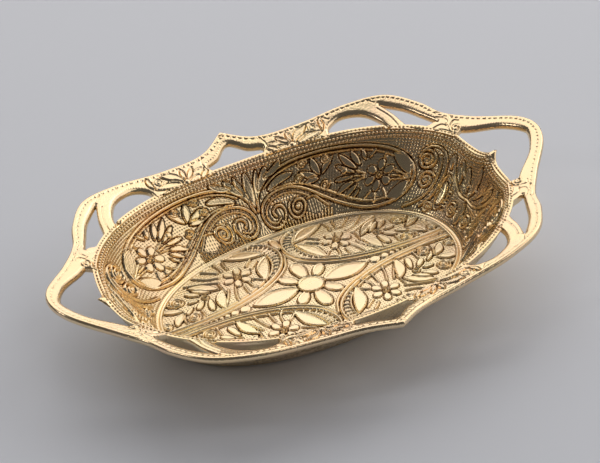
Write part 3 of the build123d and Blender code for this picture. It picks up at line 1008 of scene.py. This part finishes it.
def camera():
    """Camera at the photograph's viewing angle, found from the dish's own symmetry."""
    turn = np.radians(-24.634)
    rise = np.radians(35.691)
    roll = np.radians(-5.652)
    distance = 1009.3
    shift_x, shift_y = 5.916, -28.848
    frame_width = 600
    focal = 1936.66
    back = np.array([np.sin(turn) * np.cos(rise), -np.cos(turn) * np.cos(rise), np.sin(rise)])
    right = np.array([np.cos(turn), np.sin(turn), 0])
    up = np.cross(back, right)
    right, up = np.cos(roll) * right + np.sin(roll) * up, -np.sin(roll) * right + np.cos(roll) * up
    place = (-shift_x * right - shift_y * up + distance * back) * MM
    data = bpy.data.cameras.new("camera")
    data.sensor_width = 36
    data.lens = focal * 36 / frame_width
    data.clip_end = 20
    obj = bpy.data.objects.new("camera", data)
    matrix = Matrix.Identity(4)
    for row in range(3):
        matrix[row][0] = right[row]
        matrix[row][1] = up[row]
        matrix[row][2] = back[row]
        matrix[row][3] = place[row]
    obj.matrix_world = matrix
    bpy.context.scene.collection.objects.link(obj)
    bpy.context.scene.camera = obj


def soft_box(name, place, size, power):
    """Soft lamp at a place in metres that faces the dish."""
    data = bpy.data.lights.new(name, "AREA")
    data.shape = "RECTANGLE"
    data.size, data.size_y = size
    data.energy = power
    data.color = (1, 0.95, 0.9)
    obj = bpy.data.objects.new(name, data)
    obj.location = place
    obj.rotation_euler = (-Vector(place)).to_track_quat("-Z", "Y").to_euler()
    bpy.context.scene.collection.objects.link(obj)


def studio():
    """Pale floor, plain soft light and a plain world."""
    bpy.ops.mesh.primitive_plane_add(size=8, location=(0, 0, -0.0002))
    floor = bpy.context.object
    floor.name = "studio_floor"
    mat = bpy.data.materials.new("studio_floor")
    mat.use_nodes = True
    shader = mat.node_tree.nodes["Principled BSDF"]
    shader.inputs["Base Color"].default_value = (0.74, 0.78, 0.86, 1)
    shader.inputs["Roughness"].default_value = 0.6
    floor.data.materials.append(mat)
    world = bpy.data.worlds.new("world")
    bpy.context.scene.world = world
    world.use_nodes = True
    world.node_tree.nodes["Background"].inputs["Color"].default_value = (0.5, 0.5, 0.52, 1)
    world.node_tree.nodes["Background"].inputs["Strength"].default_value = 0.17
    soft_box("window", (0.99, 2.12, 1.96), (4.6, 3.8), 72)
    soft_box("side", (2.43, -0.65, 1.63), (4.4, 3.0), 46)
    soft_box("spark", (-1.76, 0.25, 1.35), (0.4, 0.4), 3)


def settle(piece, material, slot, *nodes):
    """Give a piece its material and body, and let it stand for its nodes."""
    piece.data.materials.append(material)
    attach(piece, "root")
    if nodes:
        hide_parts(*nodes)


def build():
    """Draw the ornament maps, make every piece and settle it."""
    satin = gold("satin_gold", (0.97, 0.78, 0.50), 0.22, 0.34, 900)
    pressed = gold("pressed_gold", (0.97, 0.75, 0.45), 0.15, 0.26, 900)
    cast = gold("cast_gold", (0.97, 0.75, 0.47), 0.16, 0.28, 700)
    floor_map = draw_floor()
    wall_map = draw_wall()
    quarters = (("back_right", 1, 1), ("back_left", -1, 1), ("front_left", -1, -1), ("front_right", 1, -1))
    for k, (name, side, end) in enumerate(quarters):
        settle(floor_quarter("bowl_floor_" + name, side, end, floor_map), satin, "pressed_gold", "bowl")
        settle(wall_quarter("bowl_wall_" + name, k, wall_map), pressed, "pressed_gold")
    settle(bead_rows(), cast, "bead_gold", "bead_band")
    border_map = draw_border()
    L, W = half_length, half_width

    def in_handle(x, y):
        return np.abs(np.arctan2(np.abs(y), np.abs(x))) < knuckle_angle

    def in_point(x, y):
        return np.abs(x) < panel_seam

    def in_corner(x, y):
        return ~in_handle(x, y) & ~in_point(x, y)

    for side, sign in (("right", 1), ("left", -1)):
        low_x, high_x = sorted((sign * 90, sign * (L + 1)))
        piece = border_piece("handle_" + side + "_cast", (low_x, -48), (high_x, 48), in_handle, border_map)
        settle(piece, cast, "cast_gold", "handle_" + side)
        for end, way in (("back", 1), ("front", -1)):
            low_x, high_x = sorted((sign * 49, sign * 125))
            low_y, high_y = sorted((way * 25, way * 90))
            name = "corner_" + end + "_" + side
            piece = border_piece(name + "_cast", (low_x, low_y), (high_x, high_y), in_corner, border_map)
            settle(piece, cast, "cast_gold", name)
    for end, way in (("back", 1), ("front", -1)):
        low_y, high_y = sorted((way * 60, way * (W + 1)))
        piece = border_piece("point_" + end + "_cast", (-51, low_y), (51, high_y), in_point, border_map)
        settle(piece, cast, "cast_gold", "point_" + end)


bpy.context.scene.view_settings.view_transform = "Standard"
camera()
studio()
build()
